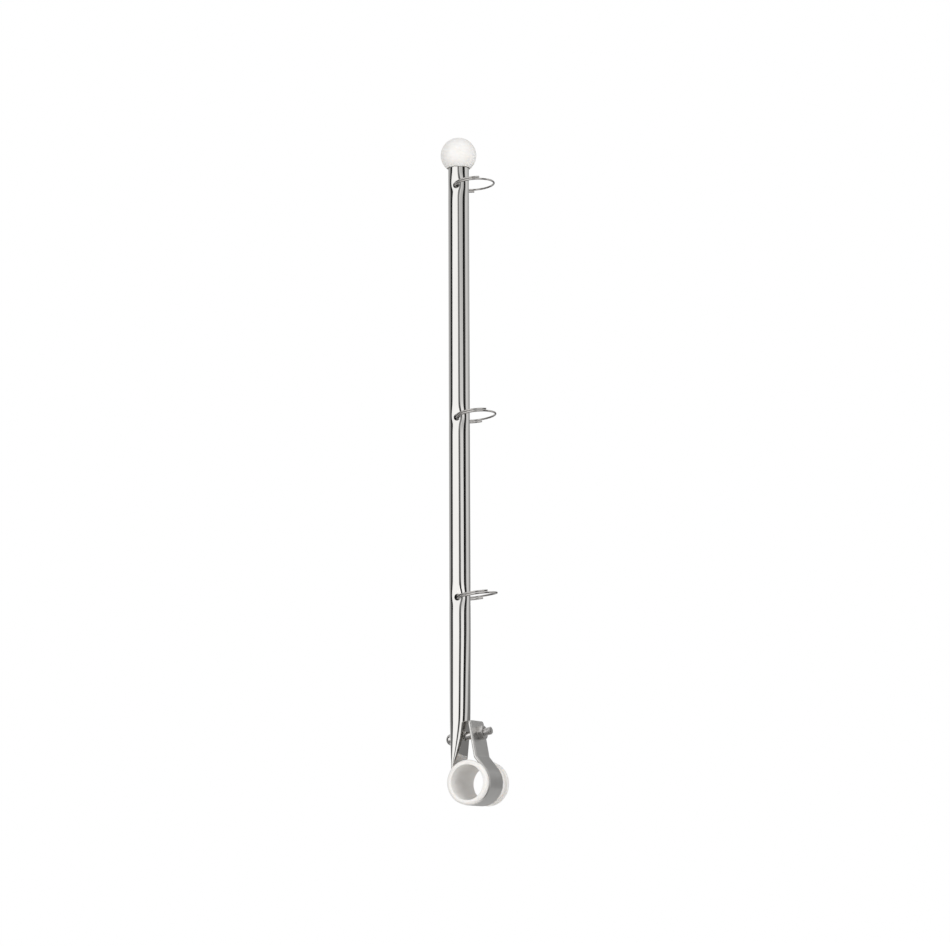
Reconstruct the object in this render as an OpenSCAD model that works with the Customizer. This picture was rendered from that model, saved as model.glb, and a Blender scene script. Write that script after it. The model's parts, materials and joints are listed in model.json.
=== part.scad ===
// Rail-clamp flagstaff for a small boat, in millimetres.
// One stainless tube is crushed flat at its foot and bent into a strap that wraps a nylon rail liner.
// A nylon ball closes the top, and three split rings pass through cross holes to carry the flag.
// +Z runs up the pole, +Y runs along the rail, and the origin is the middle of the rail bore.

/* [Pole tube] */
// Outside diameter of the tube
tube_d = 13.3; // [11:0.1:15]
// Wall of the tube
tube_wall = 1; // [0.8:0.1:1.2]
// Height of the tube's top end above the rail's centre line
tube_top = 402.7; // [330:0.1:490]

/* [Crushed foot and strap] */
// Width of the flat strap
strap_w = 20.4; // [17:0.1:22]
// How far the flat foot stands inboard of the loop's outermost point
foot_inset = 1.6; // [1.2:0.1:2.6]
// How far the round tube stands inboard of the flat foot
tube_inset = 1; // [0:0.1:1.4]
// Clearance between the strap's edge and the liner's near flange
flange_gap = 0.4; // [0.1:0.1:4]
// Height at which the crushed foot becomes fully flat
flat_top = 11; // [10:0.1:13]
// Length of the crushed stretch above the flat foot
crush_h = 89; // [84:0.5:92]
// Mean radius of the bend that leads the foot onto the loop
foot_bend_r = 8; // [6:0.5:10]

/* [Clamp ear] */
// Angle above the horizontal at which the strap leaves the loop
leave_angle = 39; // [36:1:50]
// Length from the loop to the corner of the ear
shoulder_len = 9.8; // [8:0.1:10.4]
// Lean of the ear towards the pole
ear_lean = 10.7; // [8:0.1:13]
// Length of the ear above its corner
ear_len = 23; // [21:0.1:26]
// Mean radius of the bend at the ear's corner
ear_bend_r = 3; // [2:0.1:4]
// Radius of the ear's two top corners
ear_corner_r = 2; // [1.5:0.5:6]

/* [Rail liner] */
// Diameter of the rail that the liner fits
rail_d = 22; // [20:0.1:23]
// Wall of the liner's body
liner_wall = 1.15; // [1:0.05:1.5]
// Length of the liner along the rail
liner_len = 34; // [34:0.5:40]
// Thickness of each end flange
flange_t = 3; // [2.5:0.1:3.3]
// Height of the flanges above the liner's body
flange_rise = 1.8; // [1.7:0.1:2.4]
// Rounding of each flange's outer edge
flange_round = 1.6; // [0.5:0.1:1.7]

/* [Clamp bolt and nut] */
// Diameter of the bolt
bolt_d = 5; // [4:0.5:6]
// Length of the bolt under its head
bolt_len = 26.5; // [26:0.5:32]
// Distance of the bolt's axis from the ear's corner, along the ear
bolt_up = 14.9; // [14:0.1:16]
// Diameter of the bolt's head
head_d = 7.2; // [6.5:0.1:8]
// Height of the bolt's head
head_h = 4.6; // [3.4:0.1:5.5]
// Width of the nut across its flats
nut_af = 8; // [7.5:0.1:9]
// Thickness of the nut
nut_t = 4; // [3.5:0.1:5]

/* [Ball finial] */
// Diameter of the ball
ball_d = 22.8; // [21:0.1:26]
// Depth of the tube's socket in the ball
socket_depth = 9.7; // [8:0.1:11]

/* [Split rings] */
// Outside diameter of a split ring
ring_od = 26.5; // [25.5:0.1:27]
// Diameter of the ring's wire
wire_d = 1.2; // [1:0.05:1.3]
// Degrees over which the top ring's two coils lie side by side
top_double_arc = 195; // [150:5:240]
// Degrees over which the two lower rings' coils lie side by side
lower_double_arc = 230; // [150:5:240]
// How much wider a cross hole is than the two coils that pass through it
hole_play = 1.8; // [1.7:0.1:2.5]
// Drop from the tube's top end to the top ring's hole
ring_top_drop = 21.8; // [20:0.1:60]
// How far the cross holes are turned round the pole from the line of the rail
hole_turn = 9; // [0:0.5:12]
// Height of the middle ring's hole
ring_middle_z = 230.4; // [180:0.1:260]
// Height of the bottom ring's hole
ring_bottom_z = 116.1; // [108:0.1:130]

/* [Hidden] */

$fn = 96;
fit_gap = 0.05;
bolt_clearance = 0.4;
overcut = 1;
steel = [0.78, 0.79, 0.80];
nylon = [0.93, 0.92, 0.91];

// The tube and its crushed stretch
tube_r = tube_d / 2;
bore_r = tube_r - tube_wall;
strap_t = 2 * tube_wall;
flat_half = strap_t / 2;
foot_edge = strap_w / 2 - flat_half;
strap_y = foot_edge + flat_half + flange_gap + flange_t - liner_len / 2;
crush_top = flat_top + crush_h;

// Share of the crushed stretch's height, and the share of the tube's roundness left there
CRUSH = [
    [0, 0], [0.034, 0.09], [0.072, 0.23], [0.131, 0.42], [0.189, 0.58], [0.225, 0.67],
    [0.275, 0.78], [0.322, 0.85], [0.4, 0.885], [0.607, 0.925], [1, 1]
];
end_steps = 10;
loop_steps = 48;
bend_steps = 4;
least_edge = 0.02;

function dir(angle) = [cos(angle), sin(angle)];
function crush_z(i) = flat_top + CRUSH[i][0] * crush_h;
function share_at(z) = lookup((z - flat_top) / crush_h, CRUSH);
function half_at(z) = flat_half + share_at(z) * (tube_r - flat_half);
function middle_at(z) = tube_inset * share_at(z) - foot_x;

// The loop round the liner, the foot's bend onto it, and the ear's corner
liner_r = rail_d / 2 + liner_wall;
loop_r = liner_r + fit_gap + flat_half;
foot_x = loop_r - foot_inset;
tube_x = tube_inset - foot_x;
foot_turn = acos((foot_x + foot_bend_r) / (loop_r + foot_bend_r));
foot_bend_at = (loop_r + foot_bend_r) * dir(180 - foot_turn);
shoulder_dir = dir(leave_angle + 90);
ear_dir = dir(ear_lean + 90);
ear_turn = leave_angle - ear_lean;
corner_trim = ear_bend_r * tan(ear_turn / 2);
leave_at = loop_r * dir(leave_angle);
ear_corner = leave_at + shoulder_len * shoulder_dir;
ear_bend_at = ear_corner - corner_trim * shoulder_dir + ear_bend_r * dir(leave_angle);
ear_tip = ear_corner + ear_len * ear_dir;

// The bolt stands square to the ear, and its head rests on the far side of the crushed foot
bolt_at = ear_corner + bolt_up * ear_dir;
bolt_foot_z = bolt_at.y - (bolt_at.x + foot_x + half_at(bolt_at.y)) * tan(ear_lean);
head_reach = [
    for (u = [-1 : 0.25 : 1])
        let (z = bolt_foot_z + u * head_d / 2 * cos(ear_lean))
        (middle_at(z) - half_at(z) - bolt_at.x + u * head_d / 2 * sin(ear_lean)) / cos(ear_lean)
];
head_seat = min(head_reach) - fit_gap;
bolt_hole_d = bolt_d + bolt_clearance;
dome_r = head_d * 0.52;
tip_chamfer = 0.5;

// The ball sits down the tube until a narrow lip is left round it
ball_r = ball_d / 2;
ball_lip = 0.9;
ball_cut = sqrt(pow(ball_r, 2) - pow(tube_r + ball_lip, 2));
ball_z = tube_top - socket_depth + ball_cut;

// The rings as they lie at rest: [slide outboard in the holes, upward swing, near-side-up roll]
ring_top_rest = [-0.35, 5.5, 4];
ring_middle_rest = [0.05, 7.6, 5.3];
ring_bottom_rest = [0.35, 7.6, -0.1];
ring_r = (ring_od - wire_d) / 2;
ring_reach = sqrt(pow(ring_r, 2) - pow(tube_r, 2));
ring_top_z = tube_top - ring_top_drop;
coil_gap = 0.1;
coil_step = wire_d + coil_gap;
hole_d = wire_d + coil_step + hole_play;
ring_steps = 60;
wire_sides = 8;

// Direction of the middle of the double stretch, in the ring's own plane
double_middle = 203.5;

// How far up its two coils the wire has climbed after turning by a, smoothly and only where it is single
function coil_rise(a, double_arc) =
    let (s = max(0, min(1, (a - double_arc) / (360 - double_arc))))
    coil_step * (s * s * (3 - 2 * s) - 0.5);

// A solid tube through sections that turn right-handed about the way they run
module skin(sections) {
    n = len(sections[0]);
    last = len(sections) - 1;
    sides = [
        for (i = [0 : last - 1], k = [0 : n - 1])
            [i * n + k, (i + 1) * n + k, (i + 1) * n + (k + 1) % n, i * n + (k + 1) % n]
    ];
    first_cap = [for (k = [0 : n - 1]) k];
    last_cap = [for (k = [n - 1 : -1 : 0]) last * n + k];
    points = [for (section = sections) each section];
    polyhedron(points, concat(sides, [first_cap, last_cap]), convexity = 6);
}

// Outline of the flattened tube at a place in the XZ plane, square to the way it heads there
function outline(at, heading, half, edge) =
    let (across = dir(heading - 90))
    [
        for (side = [1, -1], k = [0 : end_steps])
            let (a = 180 * k / end_steps + (side > 0 ? 0 : 180))
            [
                at.x + half * cos(a) * across.x,
                strap_y + side * edge + half * sin(a),
                at.y + half * cos(a) * across.y
            ]
    ];

// Outline of the crushed stretch at one of its stations, drawn in by inset
function crush_outline(i, inset) =
    let (
        z = crush_z(i),
        edge = max(least_edge, foot_edge * (1 - CRUSH[i][1]))
    )
    outline([middle_at(z), z], 90, half_at(z) - inset, edge);

// Outlines of the flat strap along an arc, which turns one way or the other
function arc_outlines(centre, radius, from, to, steps) =
    let (quarter = to > from ? 90 : -90)
    [
        for (i = [0 : steps])
            let (a = from + (to - from) * i / steps)
            outline(centre + radius * dir(a), a + quarter, flat_half, foot_edge)
    ];

module on_pole_axis(z) {
    translate([tube_x, strap_y, z]) children();
}

// What comes off the ear's two top corners to round them
module ear_corner_cuts() {
    translate([ear_tip.x, strap_y, ear_tip.y])
        rotate([0, -ear_lean, 0])
            for (side = [0, 1]) {
                mirror([0, side, 0])
                    rotate([90, 0, 90])
                        linear_extrude(4 * strap_t, center = true)
                            translate([strap_w / 2 - ear_corner_r, -ear_corner_r])
                                difference() {
                                    square(ear_corner_r + overcut);
                                    circle(ear_corner_r);
                                }
            }
}

// Places its children on the bolt's axis, at the middle of the ear, pointing outboard
module on_bolt_axis() {
    translate([bolt_at.x, strap_y, bolt_at.y])
        rotate([0, 90 - ear_lean, 0]) children();
}

// The foot in one run: down the ear, round the loop, up the flat and out to the round tube
module foot() {
    difference() {
        skin(concat(
            [outline(ear_tip, 270 + ear_lean, flat_half, foot_edge)],
            arc_outlines(ear_bend_at, ear_bend_r, 180 + ear_lean, 180 + leave_angle, bend_steps),
            arc_outlines([0, 0], loop_r, leave_angle, -180 - foot_turn, loop_steps),
            arc_outlines(foot_bend_at, foot_bend_r, -foot_turn, 0, bend_steps),
            [for (i = [0 : len(CRUSH) - 1]) crush_outline(i, 0)]
        ));
        ear_corner_cuts();
    }
}

module tube_hollow() {
    skin([for (i = [1 : len(CRUSH) - 1]) crush_outline(i, tube_wall)]);
    on_pole_axis(crush_top) cylinder(h = tube_top - crush_top + overcut, r = bore_r);
}

module cross_hole(z) {
    on_pole_axis(z)
        rotate([90, 0, hole_turn]) cylinder(h = 2 * tube_d, d = hole_d, center = true);
}

module pole_tube() {
    color(steel)
        difference() {
            union() {
                foot();
                on_pole_axis(crush_top) cylinder(h = tube_top - crush_top, r = tube_r);
            }
            tube_hollow();
            cross_hole(ring_top_z);
            cross_hole(ring_middle_z);
            cross_hole(ring_bottom_z);
            on_bolt_axis() cylinder(h = 3 * bolt_len, d = bolt_hole_d, center = true);
        }
}

module ball_finial() {
    color(nylon)
        difference() {
            on_pole_axis(ball_z) sphere(ball_r);
            on_pole_axis(tube_top - socket_depth - overcut)
                cylinder(h = socket_depth + overcut, r = tube_r + fit_gap);
            on_pole_axis(tube_top - socket_depth - ball_d)
                cylinder(h = ball_d, r = ball_d);
        }
}

// One split ring, flat and centred on the origin
module split_ring(double_arc) {
    skin([
        for (i = [0 : ring_steps])
            let (a = (360 + double_arc) * i / ring_steps)
            let (out = dir(double_middle - double_arc / 2 + a), rise = coil_rise(a, double_arc))
            [
                for (k = [0 : wire_sides - 1])
                    let (b = 360 * k / wire_sides, r = ring_r + wire_d / 2 * sin(b))
                    [r * out.x, r * out.y, rise + wire_d / 2 * cos(b)]
            ]
    ]);
}

module ring_in_hole(z, rest, double_arc) {
    color(steel)
        on_pole_axis(z)
            rotate([0, -rest[1], hole_turn])
                rotate([-rest[2], 0, 0])
                    translate([ring_reach + rest[0], 0, 0]) split_ring(double_arc);
}

module ring_top() {
    ring_in_hole(ring_top_z, ring_top_rest, top_double_arc);
}

module ring_middle() {
    ring_in_hole(ring_middle_z, ring_middle_rest, lower_double_arc);
}

module ring_bottom() {
    ring_in_hole(ring_bottom_z, ring_bottom_rest, lower_double_arc);
}

// Half of the liner's outline beyond the bore: radius along x, distance from the middle along y
module liner_outline() {
    flange_r = liner_r + flange_rise;
    translate([rail_d / 2, 0]) square([liner_wall, liner_len / 2]);
    difference() {
        translate([rail_d / 2, liner_len / 2 - flange_t])
            square([flange_r - rail_d / 2, flange_t]);
        translate([flange_r - flange_round, liner_len / 2 - flange_round])
            difference() {
                square(flange_round + overcut);
                circle(flange_round);
            }
    }
}

module rail_liner() {
    color(nylon)
        rotate([90, 0, 0])
            rotate_extrude()
                for (side = [0, 1]) {
                    mirror([0, side]) liner_outline();
                }
}

module clamp_bolt() {
    color(steel)
        on_bolt_axis()
            translate([0, 0, head_seat]) {
                rotate_extrude()
                    polygon([
                        [0, 0],
                        [bolt_d / 2, 0],
                        [bolt_d / 2, bolt_len - tip_chamfer],
                        [bolt_d / 2 - tip_chamfer, bolt_len],
                        [0, bolt_len]
                    ]);
                mirror([0, 0, 1])
                    rotate_extrude()
                        intersection() {
                            square([head_d / 2, head_h]);
                            translate([0, head_h - dome_r]) circle(dome_r);
                        }
            }
}

module clamp_nut() {
    color(steel)
        on_bolt_axis()
            translate([0, 0, flat_half])
                difference() {
                    rotate([0, 0, 30]) cylinder(h = nut_t, d = nut_af / cos(30), $fn = 6);
                    translate([0, 0, -overcut])
                        cylinder(h = nut_t + 2 * overcut, d = bolt_d + 2 * fit_gap);
                }
}

pole_tube();
ball_finial();
ring_top();
ring_middle();
ring_bottom();
rail_liner();
clamp_bolt();
clamp_nut();
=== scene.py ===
import json
import math

import bmesh
import bpy
from mathutils import Matrix, Vector


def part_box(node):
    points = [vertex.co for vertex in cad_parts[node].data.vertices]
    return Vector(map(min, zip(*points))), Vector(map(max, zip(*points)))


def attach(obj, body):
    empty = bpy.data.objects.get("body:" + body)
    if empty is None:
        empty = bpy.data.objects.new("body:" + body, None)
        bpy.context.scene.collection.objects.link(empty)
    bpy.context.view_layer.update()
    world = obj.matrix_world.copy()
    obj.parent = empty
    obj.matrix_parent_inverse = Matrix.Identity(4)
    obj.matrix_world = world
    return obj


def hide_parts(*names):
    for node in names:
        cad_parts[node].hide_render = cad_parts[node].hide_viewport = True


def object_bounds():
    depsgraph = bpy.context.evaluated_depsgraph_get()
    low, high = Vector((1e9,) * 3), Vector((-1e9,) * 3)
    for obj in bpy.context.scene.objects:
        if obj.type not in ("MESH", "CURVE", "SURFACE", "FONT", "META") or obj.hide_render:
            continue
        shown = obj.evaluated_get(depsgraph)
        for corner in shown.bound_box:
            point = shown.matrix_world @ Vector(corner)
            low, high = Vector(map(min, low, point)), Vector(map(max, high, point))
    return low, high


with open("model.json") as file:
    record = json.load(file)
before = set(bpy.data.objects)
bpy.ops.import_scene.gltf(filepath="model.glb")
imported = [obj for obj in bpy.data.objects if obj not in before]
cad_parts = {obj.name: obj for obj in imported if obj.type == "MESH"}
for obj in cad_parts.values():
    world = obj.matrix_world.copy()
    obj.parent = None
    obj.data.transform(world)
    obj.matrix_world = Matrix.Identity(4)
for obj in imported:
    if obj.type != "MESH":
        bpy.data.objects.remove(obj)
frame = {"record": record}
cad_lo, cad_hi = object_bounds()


# 1. Pole tube. One length of 13.3 mm stainless tube with a 1 mm wall, mirror polished. Its foot is crushed
# flat in a press and bent into a strap round the rail liner, ending in a drilled ear. Three cross holes are
# punched through it for the flag's rings, and the punch leaves a shallow dent round each.
mm = 0.001
hinges = {j["child"]: Vector(j["pos_m"]) for j in frame["record"]["behaviour"]["joints"]}
tube_lo, tube_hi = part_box("pole_tube")
tube_x, tube_y = hinges["ring_top"].x, hinges["ring_top"].y
tube_r = 6.65 * mm
tube_wall = 1 * mm
tube_top = tube_hi.z
strap_half = 1 * mm
strap_edge = (tube_hi.y - tube_lo.y) / 2 - strap_half
loop_r = -tube_lo.z - strap_half
foot_step = 1.6 * mm
foot_x = loop_r - foot_step
tube_inset = foot_x + tube_x
flat_top = 11 * mm
crush_h = 89 * mm
hole_r = 2.15 * mm
hole_turn = 9
dent_depth = 1.2 * mm
dent_spread = 3.6 * mm
foot_bend_r = 8 * mm
leave_angle = 39
shoulder_len = 9.8 * mm
ear_lean = 10.7
ear_len = 23 * mm
ear_bend_r = 3 * mm
ear_corner_r = 2 * mm
crush_heights = [0, 0.034, 0.072, 0.131, 0.189, 0.225, 0.275, 0.322, 0.4, 0.607, 1]
crush_shares = [0, 0.09, 0.23, 0.42, 0.58, 0.67, 0.78, 0.85, 0.885, 0.925, 1]
outline_sides = 96
hole_zone = 16 * mm
hollow_from = 22 * mm
bolt_hole_r = 2.7 * mm
drill_len = 36 * mm


def heading(angle):
    """A unit step in the XZ plane."""
    return Vector((math.cos(math.radians(angle)), math.sin(math.radians(angle))))


def roundness(z):
    """How far the crushed tube is back to round at height z, by a smooth curve through the press marks."""
    u = (z - flat_top) / crush_h
    if u <= 0 or u >= 1:
        return float(u >= 1)
    slopes = [
        (crush_shares[i + 1] - crush_shares[i]) / (crush_heights[i + 1] - crush_heights[i])
        for i in range(len(crush_heights) - 1)
    ]
    bends = [0] + [2 * a * b / (a + b) for a, b in zip(slopes, slopes[1:])] + [0]
    i = max(k for k in range(len(slopes)) if crush_heights[k] <= u)
    step = crush_heights[i + 1] - crush_heights[i]
    t = (u - crush_heights[i]) / step
    return (
        crush_shares[i] * (1 + 2 * t) * (1 - t) ** 2
        + crush_shares[i + 1] * t * t * (3 - 2 * t)
        + step * t * (1 - t) * (bends[i] * (1 - t) - bends[i + 1] * t)
    )


def dent(turn, z):
    """How deep the dent round the cross holes is, at an angle round the tube and a height."""
    deep = 0
    for hinge in hinges.values():
        for side in (hole_turn + 90, hole_turn - 90):
            off = tube_r * math.radians((turn - side + 180) % 360 - 180)
            deep += dent_depth * math.exp(-(off**2 + (z - hinge.z) ** 2) / (2 * dent_spread**2))
    return deep


def outline(at, way, share=0.0, trim=0.0, thin=0.0, wall=0.0):
    """One outline across the tube, square to the way it heads: two half rounds joined by two flats.
    Share takes it from the flat strap, at 0, to a full round, at 1."""
    across = heading(way - 90)
    half = strap_half + share * (tube_r - strap_half) - thin - wall
    edge = strap_edge * (1 - share) - trim - thin * (1 - share)
    arc = (2 - share) * math.pi * half
    points = []
    for k in range(outline_sides):
        run = (4 * edge + 2 * arc) * k / outline_sides
        side = 1 if run < 2 * edge + arc else -1
        run -= edge if side > 0 else 3 * edge + arc
        turn = math.radians(180 * min(1, max(0, run / arc)))
        a = side * half * math.cos(turn)
        if run < 0:
            b = side * (edge + run)
        elif run > arc:
            b = side * (edge - (run - arc))
        else:
            b = side * (edge + half * math.sin(turn))
        if share == 1:
            pressed = 1 - dent(math.degrees(math.atan2(b, a)), at.y) / tube_r
            a, b = a * pressed, b * pressed
        points.append((at.x + a * across.x, tube_y + b, at.y + a * across.y))
    return points


def skin(name, outlines):
    """A closed solid through outlines that all have the same number of points."""
    n = len(outlines[0])
    faces = [
        (i * n + k, (i + 1) * n + k, (i + 1) * n + (k + 1) % n, i * n + (k + 1) % n)
        for i in range(len(outlines) - 1)
        for k in range(n)
    ]
    faces.append(tuple(range(n)))
    faces.append(tuple(len(outlines) * n - 1 - k for k in range(n)))
    mesh = bpy.data.meshes.new(name)
    mesh.from_pydata([p for o in outlines for p in o], [], faces)
    mesh.validate()
    piece = bpy.data.objects.new(name, mesh)
    bpy.context.scene.collection.objects.link(piece)
    return piece


def take(*pieces):
    """Selects these objects and no others, and makes the first one active."""
    bpy.ops.object.select_all(action="DESELECT")
    for piece in pieces:
        piece.select_set(True)
    bpy.context.view_layer.objects.active = pieces[0]


def settle(piece, tidy=True):
    """Puts a piece's place into its mesh and points its faces outwards."""
    take(piece)
    bpy.ops.object.transform_apply(location=True, rotation=True, scale=True)
    if tidy:
        bpy.ops.object.mode_set(mode="EDIT")
        bpy.ops.mesh.select_all(action="SELECT")
        bpy.ops.mesh.remove_doubles(threshold=0.000001)
        bpy.ops.mesh.normals_make_consistent(inside=False)
        bpy.ops.object.mode_set(mode="OBJECT")


def cut(piece, tool, way="DIFFERENCE"):
    """Takes one solid away from another, joins them, or keeps what the two share."""
    change = piece.modifiers.new("cut", "BOOLEAN")
    change.operation = way
    change.object = tool
    change.solver = "EXACT"
    take(piece)
    bpy.ops.object.modifier_apply(modifier=change.name)
    bpy.data.objects.remove(tool)


def smooth(piece, angle):
    """Shades a piece smooth, except across edges sharper than this angle."""
    take(piece)
    bpy.ops.object.shade_smooth_by_angle(angle=math.radians(angle))


# The path of the strap, from the tip of the ear down, round the liner and up the flat foot
foot_turn = math.degrees(math.acos((foot_x + foot_bend_r) / (loop_r + foot_bend_r)))
foot_bend_at = (loop_r + foot_bend_r) * heading(180 - foot_turn)
ear_corner = loop_r * heading(leave_angle) + shoulder_len * heading(leave_angle + 90)
corner_trim = ear_bend_r * math.tan(math.radians(leave_angle - ear_lean) / 2)
ear_bend_at = ear_corner - corner_trim * heading(leave_angle + 90) + ear_bend_r * heading(leave_angle)
ear_tip = ear_corner + ear_len * heading(ear_lean + 90)
strap = []
# How far below the ear's tip each outline stands, and how much its broken edge thins it, in millimetres
tip_steps = (
    (0, 0.3),
    (0.06, 0.12),
    (0.18, 0.02),
    (0.4, 0),
    (0.7, 0),
    (1.1, 0),
    (1.6, 0),
    (2.5, 0),
    (9, 0),
    (16, 0),
)
for down, thin in tip_steps:
    left = max(0, ear_corner_r - down * mm)
    trim = ear_corner_r - math.sqrt(ear_corner_r**2 - left**2)
    at = ear_tip - down * mm * heading(ear_lean + 90)
    strap.append(outline(at, 270 + ear_lean, trim=trim, thin=thin * mm))


def arc(centre, radius, first, last, steps):
    """Takes the strap on round an arc about a centre."""
    turn = 90 if last > first else -90
    for i in range(steps + 1):
        a = first + (last - first) * i / steps
        strap.append(outline(centre + radius * heading(a), a + turn))


arc(ear_bend_at, ear_bend_r, 180 + ear_lean, 180 + leave_angle, 8)
arc(Vector((0, 0)), loop_r, leave_angle, -180 - foot_turn, 90)
arc(foot_bend_at, foot_bend_r, -foot_turn, 0, 10)
# Outlines stand close together up the crushed stretch and round the holes, and 10 mm apart between
heights = {flat_top + crush_h * i / 90 for i in range(91)}
for hinge in hinges.values():
    heights |= {hinge.z + side * i * 0.35 * mm for side in (1, -1) for i in range(13)}
    heights |= {hinge.z + side * (5 + i) * mm for side in (1, -1) for i in range(11)}
for z in range(140, 400, 10):
    if min(abs(z * mm - hinge.z) for hinge in hinges.values()) > hole_zone:
        heights.add(z * mm)
heights.add(tube_top)
heights = sorted(heights)


def middle(z):
    """The tube's middle at height z, in the XZ plane."""
    return Vector((tube_inset * roundness(z) - foot_x, z))


strap += [outline(middle(z), 90, roundness(z)) for z in heights]
pole = skin("pole", strap)
# The tube's inside. The faces of both skins point inwards, so this cut marks the tube's top end but leaves
# the tube filled: only the holes drilled below are open.
hollow = [outline(middle(z), 90, roundness(z), wall=tube_wall) for z in heights if z > hollow_from]
hollow.append([(x, y, z + mm) for x, y, z in hollow[-1]])
cut(pole, skin("hollow", hollow))

nut_lo, nut_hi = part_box("clamp_nut")
bolt_way = Vector((math.cos(math.radians(ear_lean)), 0, math.sin(math.radians(ear_lean))))
nut_t = 4 * mm
bolt_at = (nut_lo + nut_hi) / 2 - (strap_half + nut_t / 2) * bolt_way
bolt_turn = Matrix.Rotation(math.radians(90 - ear_lean), 4, "Y")


def drill(at, radius, turn):
    """Drills a hole right through the pole."""
    bpy.ops.mesh.primitive_cylinder_add(vertices=64, radius=radius, depth=drill_len)
    tool = bpy.context.object
    tool.matrix_world = Matrix.Translation(at) @ turn
    cut(pole, tool)


hole_way = Matrix.Rotation(math.radians(hole_turn), 4, "Z") @ Matrix.Rotation(math.radians(90), 4, "X")
for hinge in hinges.values():
    drill(hinge, hole_r, hole_way)
drill(bolt_at, bolt_hole_r, bolt_turn)
settle(pole)
smooth(pole, 32)
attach(pole, "staff")
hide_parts("pole_tube")


def colour(code):
    """sRGB hex to the linear colour that a shader takes."""
    parts = [int(code[i : i + 2], 16) / 255 for i in (0, 2, 4)]
    return (*[p / 12.92 if p <= 0.04045 else ((p + 0.055) / 1.055) ** 2.4 for p in parts], 1)


def add(finish, kind, values={}, links={}):
    """Adds a shader node with its settings and the sockets that feed it."""
    node = finish.node_tree.nodes.new("ShaderNode" + kind)
    for name, value in values.items():
        if name in node.inputs:
            node.inputs[name].default_value = value
        else:
            setattr(node, name, value)
    for name, source in links.items():
        finish.node_tree.links.new(source, node.inputs[name])
    return node


def surface(name, piece, values):
    """A new finish on a piece, and its shader."""
    finish = bpy.data.materials.new(name)
    finish.use_nodes = True
    shader = finish.node_tree.nodes["Principled BSDF"]
    for socket, value in values.items():
        shader.inputs[socket].default_value = value
    piece.data.materials.clear()
    piece.data.materials.append(finish)
    return finish, shader


# Mirror polished stainless: clear reflections on the tube and its crushed foot, and on the loop and the ear
# the softer grain of the belt that ground them, which runs along the strap.
steel, shader = surface("polished_stainless", pole, {"Metallic": 1})
place = add(steel, "TexCoord")
split = add(steel, "SeparateXYZ", links={"Vector": place.outputs["Object"]})
above = add(steel, "MapRange", {"From Min": 0.01, "From Max": 0.017}, {"Value": split.outputs["Z"]})
pole_side = add(
    steel, "MapRange", {"From Min": -0.0022, "From Max": -0.0034}, {"Value": split.outputs["X"]}
)
polished = add(
    steel, "Math", {"operation": "MULTIPLY"}, {0: above.outputs["Result"], 1: pole_side.outputs["Result"]}
)
# Draw marks about 0.5 mm apart run up the tube
up = add(steel, "Mapping", {"Scale": (2000, 2000, 25)}, {"Vector": place.outputs["Object"]})
drawn = add(steel, "TexNoise", {"Scale": 1, "Detail": 2}, {"Vector": up.outputs["Vector"]})
along = add(steel, "Mapping", {"Scale": (60, 2500, 60)}, {"Vector": place.outputs["Object"]})
ground = add(steel, "TexNoise", {"Scale": 1, "Detail": 3}, {"Vector": along.outputs["Vector"]})
lines = add(
    steel,
    "Mix",
    links={"Factor": polished.outputs["Value"], "A": ground.outputs["Fac"], "B": drawn.outputs["Fac"]},
)
# Slow waves that the polishing wheel left, a few centimetres long
slow = add(steel, "Mapping", {"Scale": (120, 120, 28)}, {"Vector": place.outputs["Object"]})
waves = add(steel, "TexNoise", {"Scale": 1, "Detail": 1}, {"Vector": slow.outputs["Vector"]})
tone = add(steel, "ValToRGB", links={"Fac": waves.outputs["Fac"]})
tone.color_ramp.elements[0].color = colour("CBC9C6")
tone.color_ramp.elements[1].color = colour("D3D2D0")
matt = add(steel, "MapRange", {"To Min": 0.3, "To Max": 0.035}, {"Value": polished.outputs["Value"]})
haze = add(steel, "MapRange", {"To Min": -0.01, "To Max": 0.02}, {"Value": lines.outputs["Result"]})
rough = add(steel, "Math", {"operation": "ADD"}, {0: matt.outputs["Result"], 1: haze.outputs["Result"]})
grain = add(
    steel, "Bump", {"Strength": 0.08, "Distance": 0.00002}, {"Height": lines.outputs["Result"]}
)
bent = add(
    steel,
    "Bump",
    {"Strength": 0.12, "Distance": 0.0002},
    {"Height": waves.outputs["Fac"], "Normal": grain.outputs["Normal"]},
)
steel.node_tree.links.new(tone.outputs["Color"], shader.inputs["Base Color"])
steel.node_tree.links.new(rough.outputs["Value"], shader.inputs["Roughness"])
steel.node_tree.links.new(bent.outputs["Normal"], shader.inputs["Normal"])

# The inside was never polished, so it is dull. Its dark colour, in patches about 2 mm across, is painted
# shade for the shaded inside of the tube. It goes on the faces that look in towards the tube's middle: parts
# of the holes' walls.
# This finish is dull metal whose dark colour is painted shade
scale, shader = surface("dull_inside_painted_shade", pole, {"Metallic": 1, "Roughness": 0.65})
place = add(scale, "TexCoord")
patches = add(scale, "TexNoise", {"Scale": 500, "Detail": 3}, {"Vector": place.outputs["Object"]})
# Dark tones of the painted shade inside the holes
tone = add(scale, "ValToRGB", links={"Fac": patches.outputs["Fac"]})
tone.color_ramp.elements[0].color = colour("3A3835")
tone.color_ramp.elements[1].color = colour("5C5955")
scale.node_tree.links.new(tone.outputs["Color"], shader.inputs["Base Color"])
pole.data.materials.clear()
pole.data.materials.append(steel)
pole.data.materials.append(scale)
# The painted shade goes on the holes' inner walls, where the tube's inside would lie in shade
for face in pole.data.polygons:
    off = Vector((face.center.x - middle(face.center.z).x, face.center.y - tube_y, 0))
    inside = hollow_from < face.center.z < tube_top - 0.01 * mm and off.length < tube_r
    if inside and off.dot(face.normal) < -0.5 * off.length:
        face.material_index = 1


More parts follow.
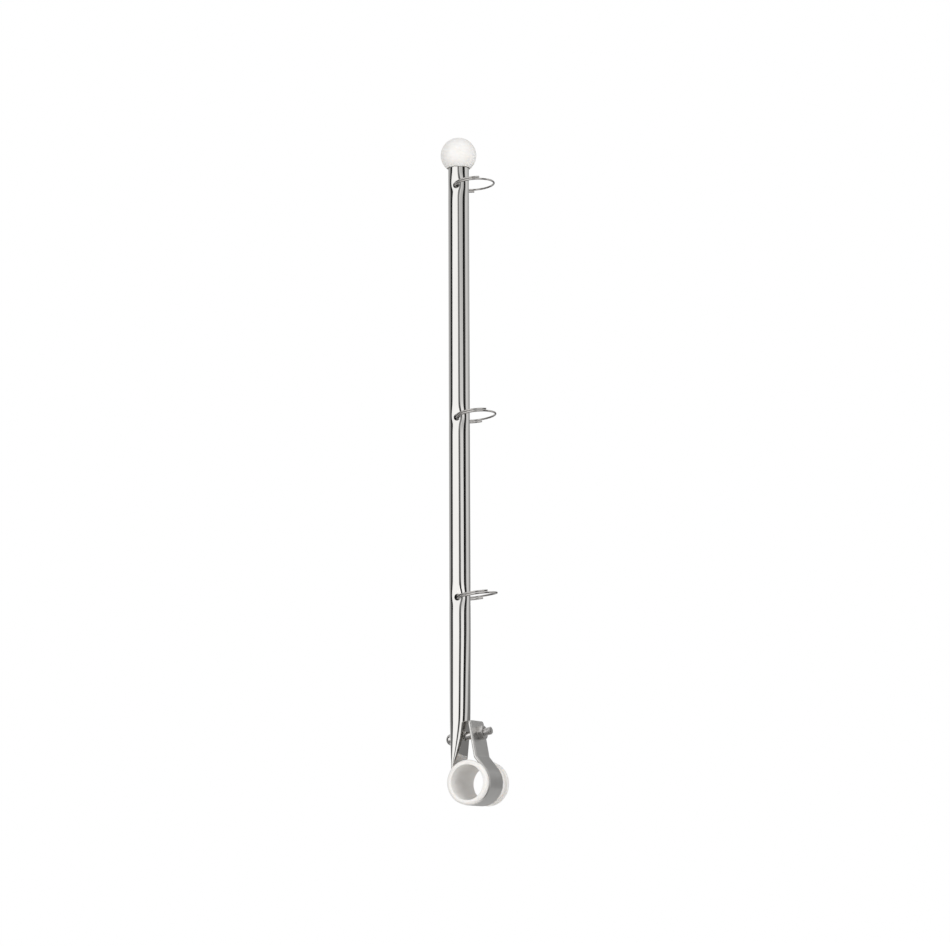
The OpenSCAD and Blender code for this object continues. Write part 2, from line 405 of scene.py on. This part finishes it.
# 2. Rail liner. A sleeve of white nylon, moulded in one, with a flange at each end that keeps the strap from
# sliding off. Its bore takes the rail, and the edges of the flanges are rounded.
liner_lo, liner_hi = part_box("rail_liner")
bore_r = frame["record"]["mounts"][0]["dims"]["r_mm"] * mm
liner_wall = 1.15 * mm
flange_t = 3 * mm
flange_rise = liner_hi.x - bore_r - liner_wall
near_flange = 13 * mm


def pick(piece, test, kind="verts"):
    """In edit mode, selects the points, edges or faces for which the test holds."""
    bpy.ops.mesh.select_mode(type={"verts": "VERT", "edges": "EDGE", "faces": "FACE"}[kind])
    bpy.ops.mesh.select_all(action="DESELECT")
    shape = bmesh.from_edit_mesh(piece.data)
    for part in getattr(shape, kind):
        part.select_set(test(part))
    shape.select_flush_mode()
    bmesh.update_edit_mesh(piece.data)


bpy.ops.object.select_all(action="DESELECT")
bpy.ops.mesh.primitive_plane_add(size=1)
liner = bpy.context.object
liner.name = liner.data.name = "liner"
liner.scale = (liner_wall, liner_hi.y - liner_lo.y, 1)
liner.location = (bore_r + liner_wall / 2, (liner_hi.y + liner_lo.y) / 2, 0)
settle(liner, tidy=False)
bpy.ops.object.mode_set(mode="EDIT")
for flange_face in (liner_hi.y - flange_t, liner_lo.y + flange_t):
    bpy.ops.mesh.select_all(action="SELECT")
    bpy.ops.mesh.bisect(plane_co=(0, flange_face, 0), plane_no=(0, 1, 0))
for side in (1, -1):
    pick(
        liner,
        lambda e: all(v.co.x > bore_r + liner_wall / 2 and side * v.co.y > near_flange for v in e.verts),
        "edges",
    )
    bpy.ops.mesh.extrude_edges_move(TRANSFORM_OT_translate={"value": (flange_rise, 0, 0)})
bpy.ops.mesh.select_all(action="SELECT")
bpy.ops.mesh.dissolve_limited(angle_limit=math.radians(1), use_dissolve_boundaries=False)
# Roundings of the flanges' outer rims, of their rims beside the strap, and of the bore's mouths
roundings = (
    (liner_hi.x, 1.6 * mm, True),
    (liner_hi.x, 0.5 * mm, False),
    (bore_r, 0.45 * mm, True),
)
for at_x, offset, outer in roundings:
    pick(
        liner,
        lambda v: abs(v.co.x - at_x) < 0.01 * mm and (abs(v.co.y) > liner_hi.y - 0.01 * mm) == outer,
    )
    bpy.ops.mesh.bevel(offset=offset, segments=8 if offset > mm else 4, affect="VERTICES")
bpy.ops.mesh.select_all(action="SELECT")
bpy.ops.mesh.delete(type="ONLY_FACE")
bpy.ops.mesh.select_all(action="SELECT")
bpy.ops.mesh.spin(steps=128, angle=math.radians(360), center=(0, 0, 0), axis=(0, 1, 0))
bpy.ops.object.mode_set(mode="OBJECT")
settle(liner)
smooth(liner, 30)
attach(liner, "staff")
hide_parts("rail_liner")


# Moulded nylon, natural white: soft sheen, a little light passes into it, and the mould leaves a fine peel
nylon, shader = surface(
    "moulded_nylon",
    liner,
    {
        "IOR": 1.53,
        "Subsurface Weight": 0.25,
        "Subsurface Radius": (0.0016, 0.0014, 0.0012),
        "Subsurface Scale": 1,
    },
)
place = add(nylon, "TexCoord")
# Peel about 0.6 mm across, and cloudy patches about 8 mm across
peel = add(nylon, "TexNoise", {"Scale": 1600, "Detail": 2}, {"Vector": place.outputs["Object"]})
cloud = add(nylon, "TexNoise", {"Scale": 120, "Detail": 2}, {"Vector": place.outputs["Object"]})
tone = add(nylon, "ValToRGB", links={"Fac": cloud.outputs["Fac"]})
tone.color_ramp.elements[0].color = colour("EAE8E5")
tone.color_ramp.elements[1].color = colour("F0EEEC")
rough = add(nylon, "MapRange", {"To Min": 0.36, "To Max": 0.5}, {"Value": peel.outputs["Fac"]})
raised = add(nylon, "Bump", {"Strength": 0.15, "Distance": 0.00005}, {"Height": peel.outputs["Fac"]})
nylon.node_tree.links.new(tone.outputs["Color"], shader.inputs["Base Color"])
nylon.node_tree.links.new(rough.outputs["Result"], shader.inputs["Roughness"])
nylon.node_tree.links.new(raised.outputs["Normal"], shader.inputs["Normal"])


# 3. Clamp bolt. A 5 mm stainless bolt with a low rounded head, turned bright, its thread rolled over the
# last 12 mm. It passes through the crushed foot and the ear and draws the strap tight on the rail.
bolt_lo, bolt_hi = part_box("clamp_bolt")
bolt_r = 2.5 * mm
bolt_len = 26.5 * mm
head_r = 3.6 * mm
head_h = 4.6 * mm
dome_r = head_r * 1.04
pitch = 0.8 * mm
thread_deep = 0.42 * mm
thread_len = 12 * mm
thread_cuts = 124
lean = math.cos(math.radians(ear_lean))
head_seat = (bolt_lo.x + dome_r - bolt_at.x) / lean + head_h - dome_r

bpy.ops.object.select_all(action="DESELECT")
bpy.ops.mesh.primitive_cylinder_add(
    vertices=48, radius=bolt_r, depth=bolt_len, location=(0, 0, bolt_len / 2)
)
bolt = bpy.context.object
bolt.name = bolt.data.name = "bolt"
settle(bolt, tidy=False)
bpy.ops.object.mode_set(mode="EDIT")
pick(bolt, lambda e: abs(e.verts[0].co.z - e.verts[1].co.z) > mm, "edges")
bpy.ops.mesh.subdivide(number_cuts=thread_cuts)
bpy.ops.object.mode_set(mode="OBJECT")
for point in bolt.data.vertices:
    # The thread's hollows wind round the shank and run out towards the head
    x, y, z = point.co
    turn = math.atan2(y, x) / (2 * math.pi)
    if math.hypot(x, y) > bolt_r * 0.9:
        wave = abs(((z / pitch - turn) % 1) * 2 - 1)
        start = bolt_len - thread_len
        depth = thread_deep * min(1, max(0, (z - start) / pitch)) * min(1, wave * 1.35)
        point.co.x -= x / bolt_r * depth
        point.co.y -= y / bolt_r * depth
bpy.ops.object.mode_set(mode="EDIT")
pick(bolt, lambda f: f.normal.z > 0.9 and len(f.verts) > 4, "faces")
bpy.ops.mesh.inset(thickness=0.35 * mm)
bpy.ops.transform.translate(value=(0, 0, 0.3 * mm))
bpy.ops.object.mode_set(mode="OBJECT")


def soften(piece, width, segments):
    """Rounds over a piece's sharp edges."""
    change = piece.modifiers.new("edges", "BEVEL")
    change.width = width
    change.segments = segments
    change.limit_method = "ANGLE"
    change.angle_limit = math.radians(25)
    take(piece)
    bpy.ops.object.modifier_apply(modifier=change.name)


# The head: a ball cut flat where it seats, with its side turned down to a round rim
bpy.ops.mesh.primitive_uv_sphere_add(
    segments=64, ring_count=48, radius=dome_r, location=(0, 0, dome_r - head_h)
)
head = bpy.context.object
settle(head, tidy=False)
bpy.ops.object.mode_set(mode="EDIT")
bpy.ops.mesh.select_all(action="SELECT")
bpy.ops.mesh.bisect(plane_co=(0, 0, 0), plane_no=(0, 0, 1), clear_outer=True, use_fill=True)
bpy.ops.object.mode_set(mode="OBJECT")
bpy.ops.mesh.primitive_cylinder_add(vertices=96, radius=head_r, depth=4 * head_h)
cut(head, bpy.context.object, "INTERSECT")
soften(head, 0.35 * mm, 4)
cut(bolt, head, "UNION")
bolt.matrix_world = Matrix.Translation(bolt_at) @ bolt_turn @ Matrix.Translation((0, 0, head_seat))
settle(bolt)
smooth(bolt, 30)
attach(bolt, "staff")
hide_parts("clamp_bolt")

# Turned stainless: fine tool rings across the axis, a little duller than the tube
turned, shader = surface("turned_stainless", bolt, {"Metallic": 1})
place = add(turned, "TexCoord")
tool_rings = add(turned, "TexNoise", {"Scale": 1, "Detail": 2})
upright = add(
    turned,
    "Mapping",
    {"Rotation": (0, math.radians(-(90 - ear_lean)), 0)},
    {"Vector": place.outputs["Object"]},
)
fine = add(turned, "Mapping", {"Scale": (80, 80, 3000)}, {"Vector": upright.outputs["Vector"]})
turned.node_tree.links.new(fine.outputs["Vector"], tool_rings.inputs["Vector"])
tone = add(turned, "ValToRGB", links={"Fac": tool_rings.outputs["Fac"]})
tone.color_ramp.elements[0].color = colour("BDBBB9")
tone.color_ramp.elements[1].color = colour("D0CECC")
rough = add(turned, "MapRange", {"To Min": 0.14, "To Max": 0.26}, {"Value": tool_rings.outputs["Fac"]})
raised = add(turned, "Bump", {"Strength": 0.15, "Distance": 0.00003}, {"Height": tool_rings.outputs["Fac"]})
turned.node_tree.links.new(tone.outputs["Color"], shader.inputs["Base Color"])
turned.node_tree.links.new(rough.outputs["Result"], shader.inputs["Roughness"])
turned.node_tree.links.new(raised.outputs["Normal"], shader.inputs["Normal"])


# 4. Clamp nut. A stainless hexagon nut, 8 mm across its flats, cold formed and then turned on both faces,
# which cuts its corners back to a circle. It bears on the outside of the ear.
nut_af = 8 * mm
bpy.ops.object.select_all(action="DESELECT")
bpy.ops.mesh.primitive_cylinder_add(vertices=6, radius=nut_af / 2 / math.cos(math.radians(30)), depth=nut_t)
nut = bpy.context.object
nut.name = nut.data.name = "nut"
settle(nut, tidy=False)
bpy.ops.mesh.primitive_cylinder_add(vertices=96, radius=nut_af * 0.59, depth=nut_t)
blank = bpy.context.object
bpy.ops.object.mode_set(mode="EDIT")
pick(blank, lambda e: abs(e.verts[0].co.z - e.verts[1].co.z) < 0.1 * mm, "edges")
bpy.ops.mesh.bevel(offset=0.62 * mm, segments=1)
bpy.ops.object.mode_set(mode="OBJECT")
cut(nut, blank, "INTERSECT")
bpy.ops.mesh.primitive_cylinder_add(vertices=64, radius=bolt_r + 0.05 * mm, depth=2 * nut_t)
cut(nut, bpy.context.object)
soften(nut, 0.12 * mm, 2)
nut.matrix_world = Matrix.Translation((nut_lo + nut_hi) / 2) @ bolt_turn
settle(nut)
smooth(nut, 25)
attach(nut, "staff")
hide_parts("clamp_nut")
nut.data.materials.clear()
nut.data.materials.append(turned)


# 5. Ball finial. A white nylon ball moulded with a socket, pushed over the tube's top end. Its mouth is cut
# square and leaves a narrow lip round the tube.
ball_lo, ball_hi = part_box("ball_finial")
ball_r = tube_x - ball_lo.x - 0.002 * mm
bpy.ops.object.select_all(action="DESELECT")
bpy.ops.mesh.primitive_uv_sphere_add(
    segments=96, ring_count=64, radius=ball_r, location=(tube_x, tube_y, ball_hi.z - ball_r)
)
ball = bpy.context.object
ball.name = ball.data.name = "ball"
settle(ball, tidy=False)
bpy.ops.object.mode_set(mode="EDIT")
bpy.ops.mesh.select_all(action="SELECT")
bpy.ops.mesh.bisect(plane_co=(0, 0, ball_lo.z), plane_no=(0, 0, -1), clear_outer=True, use_fill=True)
pick(ball, lambda f: f.normal.z < -0.99 and len(f.verts) > 4, "faces")
bpy.ops.mesh.inset(thickness=0.3 * mm)
bpy.ops.mesh.extrude_region_move(TRANSFORM_OT_translate={"value": (0, 0, tube_top - ball_lo.z + 0.05 * mm)})
pick(
    ball,
    lambda e: all(abs(v.co.z - ball_lo.z) < 0.01 * mm for v in e.verts),
    "edges",
)
bpy.ops.mesh.bevel(offset=0.1 * mm, segments=3)
bpy.ops.object.mode_set(mode="OBJECT")
settle(ball)
smooth(ball, 40)
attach(ball, "staff")
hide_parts("ball_finial")
ball.data.materials.clear()
ball.data.materials.append(nylon)


# 6. Split rings. Bright stainless wire, 1.2 mm thick, wound about one and a half turns and cut square.
# Each is wound through its cross hole, hangs in it and carries the flag's edge.
wire_r = 0.6 * mm
coil_r = 12.65 * mm
coil_step = 1.3 * mm
rise_steps = 48
flat_steps = 60
double_middle = 203.5


def wind(double_arc):
    """Winds one ring flat round the origin, with its two coils side by side over so many degrees."""
    bpy.ops.object.select_all(action="DESELECT")
    bpy.ops.mesh.primitive_circle_add(vertices=16, radius=wire_r, fill_type="NOTHING")
    ring = bpy.context.object
    ring.matrix_world = (
        Matrix.Rotation(math.radians(double_middle - double_arc / 2), 4, "Z")
        @ Matrix.Translation((coil_r, 0, -coil_step / 2))
        @ Matrix.Rotation(math.radians(90), 4, "X")
    )
    settle(ring, tidy=False)
    bpy.ops.object.mode_set(mode="EDIT")
    bpy.ops.mesh.select_mode(type="VERT")
    bpy.ops.mesh.select_all(action="SELECT")
    bpy.ops.mesh.spin(
        steps=flat_steps, angle=math.radians(-double_arc), center=(0, 0, 0), axis=(0, 0, 1)
    )
    for i in range(rise_steps):
        # Between its two flat coils the wire climbs by its own thickness
        s0, s1 = i / rise_steps, (i + 1) / rise_steps
        climb = coil_step * (s1 * s1 * (3 - 2 * s1) - s0 * s0 * (3 - 2 * s0))
        bpy.ops.mesh.extrude_region()
        bpy.ops.transform.rotate(
            value=math.radians(-(360 - double_arc) / rise_steps), orient_axis="Z", center_override=(0, 0, 0)
        )
        bpy.ops.transform.translate(value=(0, 0, climb))
    bpy.ops.mesh.spin(
        steps=flat_steps, angle=math.radians(-double_arc), center=(0, 0, 0), axis=(0, 0, 1)
    )
    bpy.ops.mesh.select_all(action="SELECT")
    bpy.ops.mesh.remove_doubles(threshold=0.000001)
    pick(ring, lambda e: e.is_boundary, "edges")
    bpy.ops.mesh.edge_face_add()
    pick(ring, lambda f: len(f.verts) > 4, "faces")
    bpy.ops.mesh.bevel(offset=0.12 * mm, segments=2)
    bpy.ops.object.mode_set(mode="OBJECT")
    settle(ring)
    return ring


top_ring = wind(195)
lower_ring = wind(230)

# Bright drawn wire: the die leaves marks too fine to tell apart, so they are drawn as specks 0.3 mm across
wire, shader = surface("bright_wire", top_ring, {"Metallic": 1})
lower_ring.data.materials.append(wire)
place = add(wire, "TexCoord")
marks = add(wire, "TexNoise", {"Scale": 3000, "Detail": 2}, {"Vector": place.outputs["Object"]})
tone = add(wire, "ValToRGB", links={"Fac": marks.outputs["Fac"]})
tone.color_ramp.elements[0].color = colour("A9A6A3")
tone.color_ramp.elements[1].color = colour("C4C1BE")
rough = add(wire, "MapRange", {"To Min": 0.08, "To Max": 0.2}, {"Value": marks.outputs["Fac"]})
wire.node_tree.links.new(tone.outputs["Color"], shader.inputs["Base Color"])
wire.node_tree.links.new(rough.outputs["Result"], shader.inputs["Roughness"])

ring_reach = math.sqrt(coil_r**2 - tube_r**2)
# How each ring hangs: its slide through the hole in millimetres, and its swing and roll in degrees
rests = {
    "ring_top": (top_ring, -0.35, 5.5, 4),
    "ring_middle": (lower_ring, 0.05, 7.6, 5.3),
    "ring_bottom": (lower_ring, 0.35, 7.6, -0.1),
}
for name, (ring, slide, swing, roll) in rests.items():
    copy = ring.copy()
    copy.data = ring.data.copy()
    copy.name = copy.data.name = name + "_wire"
    bpy.context.scene.collection.objects.link(copy)
    copy.matrix_world = (
        Matrix.Translation(hinges[name])
        @ Matrix.Rotation(math.radians(hole_turn), 4, "Z")
        @ Matrix.Rotation(math.radians(-swing), 4, "Y")
        @ Matrix.Rotation(math.radians(-roll), 4, "X")
        @ Matrix.Translation((ring_reach + slide * mm, 0, 0))
    )
    settle(copy, tidy=False)
    smooth(copy, 40)
    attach(copy, name)
    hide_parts(name)
    # The tube's reflections leave the rings out, which keeps them plain
    copy.visible_glossy = False
bpy.data.objects.remove(top_ring)
bpy.data.objects.remove(lower_ring)


# 7. Studio. A pale floor below the clamp, two soft lamps, and for the polished steel to reflect, a ring of
# white, grey and black boards that only reflections see.
floor_drop = 0.13
floor_r = 4
floor_z = cad_lo.z - floor_drop
bpy.ops.object.select_all(action="DESELECT")
bpy.ops.mesh.primitive_circle_add(vertices=96, radius=floor_r, fill_type="NGON", location=(0, 0, floor_z))
floor = bpy.context.object
floor.name = "floor"
paint, shader = surface("pale_floor", floor, {"Base Color": colour("F2F1EF"), "Roughness": 0.9})
path = add(paint, "LightPath")
seen = add(
    paint,
    "Math",
    {"operation": "MAXIMUM"},
    {0: path.outputs["Is Camera Ray"], 1: path.outputs["Is Glossy Ray"]},
)
seen = add(
    paint,
    "Math",
    {"operation": "MAXIMUM"},
    {0: seen.outputs[0], 1: path.outputs["Is Transmission Ray"]},
)
place = add(paint, "TexCoord")
far = add(paint, "VectorMath", {"operation": "LENGTH"}, {0: place.outputs["Object"]})
away = add(
    paint,
    "MapRange",
    {"From Min": 0.25, "From Max": 0.7, "interpolation_type": "SMOOTHSTEP"},
    {"Value": far.outputs["Value"]},
)
lift = add(paint, "MapRange", {"To Min": 0.2, "To Max": 1}, {"Value": away.outputs["Result"]})
glow = add(paint, "Math", {"operation": "MULTIPLY"}, {0: lift.outputs["Result"], 1: seen.outputs[0]})
bright = add(paint, "Emission", {"Color": (1, 1, 1, 1)}, {"Strength": glow.outputs[0]})
both = add(paint, "AddShader", links={0: shader.outputs[0], 1: bright.outputs[0]})
paint.node_tree.links.new(both.outputs[0], paint.node_tree.nodes["Material Output"].inputs["Surface"])

world = bpy.data.worlds.new("studio")
bpy.context.scene.world = world
world.use_nodes = True
air = world.node_tree.nodes["Background"]
path = add(world, "LightPath")
seen = add(
    world,
    "Math",
    {"operation": "MAXIMUM"},
    {0: path.outputs["Is Camera Ray"], 1: path.outputs["Is Glossy Ray"]},
)
seen = add(
    world,
    "Math",
    {"operation": "MAXIMUM"},
    {0: seen.outputs[0], 1: path.outputs["Is Transmission Ray"]},
)
strength = add(world, "MapRange", {"To Min": 0.56, "To Max": 1}, {"Value": seen.outputs[0]})
air.inputs["Color"].default_value = (1, 1, 1, 1)
world.node_tree.links.new(strength.outputs["Result"], air.inputs["Strength"])

view_angle = 24.88
board_r = 0.9
board_h = 1.3
board_rows = 12
board_foot = 0.005
sheet_from = 0.1
sheet_lift = 0.004


def board(first, last, level, upper, slant, low, high):
    """Puts up a board that only reflections see, between two angles to the right of the camera. Its profile
    runs from low to high, each a distance from the pole and a height above the floor, and turns by slant as
    it rises. Its glow goes from level, low down, to upper."""
    bpy.ops.object.select_all(action="DESELECT")
    bpy.ops.mesh.primitive_plane_add(size=1)
    card = bpy.context.object
    card.name = "board"
    bpy.ops.object.mode_set(mode="EDIT")
    pick(card, lambda v: v.co.x > 0)
    bpy.ops.mesh.delete(type="VERT")
    bpy.ops.mesh.select_all(action="SELECT")
    bpy.ops.mesh.subdivide(number_cuts=board_rows - 1)
    shape = bmesh.from_edit_mesh(card.data)
    for i, v in enumerate(sorted(shape.verts, key=lambda v: v.co.y)):
        share = i / board_rows
        angle = math.radians(view_angle + first + slant * share - 90)
        away, up = (a + (b - a) * share for a, b in zip(low, high))
        v.co = (away * math.cos(angle), away * math.sin(angle), floor_z + up)
    bmesh.update_edit_mesh(card.data)
    bpy.ops.mesh.select_all(action="SELECT")
    turn = math.radians(last - first)
    bpy.ops.mesh.spin(steps=max(2, int((last - first) / 3)), angle=-turn, center=(0, 0, 0), axis=(0, 0, 1))
    bpy.ops.object.mode_set(mode="OBJECT")
    black = {"Base Color": (0, 0, 0, 1), "Roughness": 1, "Specular IOR Level": 0}
    paper, shader = surface("board", card, black)
    place = add(paper, "TexCoord")
    split = add(paper, "SeparateXYZ", links={"Vector": place.outputs["Object"]})
    glow = add(
        paper,
        "MapRange",
        {"From Min": 0.1, "From Max": 0.55, "To Min": level, "To Max": upper},
        {"Value": split.outputs["Z"]},
    )
    shader.inputs["Emission Color"].default_value = (1, 1, 1, 1)
    paper.node_tree.links.new(glow.outputs["Result"], shader.inputs["Emission Strength"])
    card.location = (tube_x, tube_y, 0)
    card.visible_camera = card.visible_diffuse = card.visible_shadow = card.visible_transmission = False


# Each board: where it starts and ends, in degrees round the pole to the right of the camera, its levels
# low down and high up, how far it slants, and its distance from the pole
boards = (
    (-180, -140, 0.5, 0.6, 0, 0.92),
    (-140, -112, 0.7, 0.6, 0, 0.92),
    (-136, -120, 0.35, 0.35, 39, 0.9),
    (-120, -95, 0.004, 0.02, 39, 0.88),
    (-79, -12, 1.45, 1.4, 0, 0.92),
    (-5, 14, 0.04, 0.3, -12, 0.9),
    (15, 46, 1.4, 0.72, 0, 0.92),
    (44, 62, 0.005, 0.008, 0, 0.9),
    (62, 76, 0.1, 0.1, 0, 0.89),
    (84, 110, 0.9, 0.9, 0, 0.9),
    (110, 122, 0.6, 0.7, 0, 0.9),
    (122, 142, 0.26, 0.68, 0, 0.9),
    (142, 180, 0.16, 0.35, 0, 0.9),
)
for first, last, level, upper, slant, away in boards:
    board(first, last, level, upper, slant, (away, board_foot), (away, board_h))
# Sheets on the floor: where each starts and ends, and its level
for first, last, level in ((-180, 108, 0.3), (108, 180, 0.48)):
    board(first, last, level, level, 0, (sheet_from, sheet_lift), (board_r, sheet_lift))

# Each lamp: its name, its place and its width in metres, and its watts
lamps = (
    ("key", (-0.2, -1.6, 0.7), 1, 9),
    ("fill", (1.4, -0.6, 0.5), 0.9, 8),
)
for name, at, size, power in lamps:
    lamp = bpy.data.lights.new(name, "AREA")
    lamp.size = size
    lamp.energy = power
    light = bpy.data.objects.new(name, lamp)
    light.location = at
    light.rotation_euler = (Vector((0, 0, 0.18)) - Vector(at)).to_track_quat("-Z", "Y").to_euler()
    light.visible_glossy = False
    bpy.context.scene.collection.objects.link(light)

# The camera stands low and looks up a little, with the near end of the rail's bore towards it
lens = bpy.data.cameras.new("camera")
lens.lens = 115.5
lens.clip_end = 50
camera = bpy.data.objects.new("camera", lens)
bpy.context.scene.collection.objects.link(camera)
camera_away = 1.908
camera_z = -0.0782
camera_up = 8.12
camera_pan = 0.038
camera_roll = -0.23
camera_side = math.radians(view_angle)
camera.matrix_world = (
    Matrix.Translation((camera_away * math.sin(camera_side), -camera_away * math.cos(camera_side), camera_z))
    @ Matrix.Rotation(camera_side + math.radians(camera_pan), 4, "Z")
    @ Matrix.Rotation(math.radians(90 + camera_up), 4, "X")
    @ Matrix.Rotation(math.radians(camera_roll), 4, "Z")
)
bpy.context.scene.camera = camera
bpy.context.scene.view_settings.view_transform = "Standard"
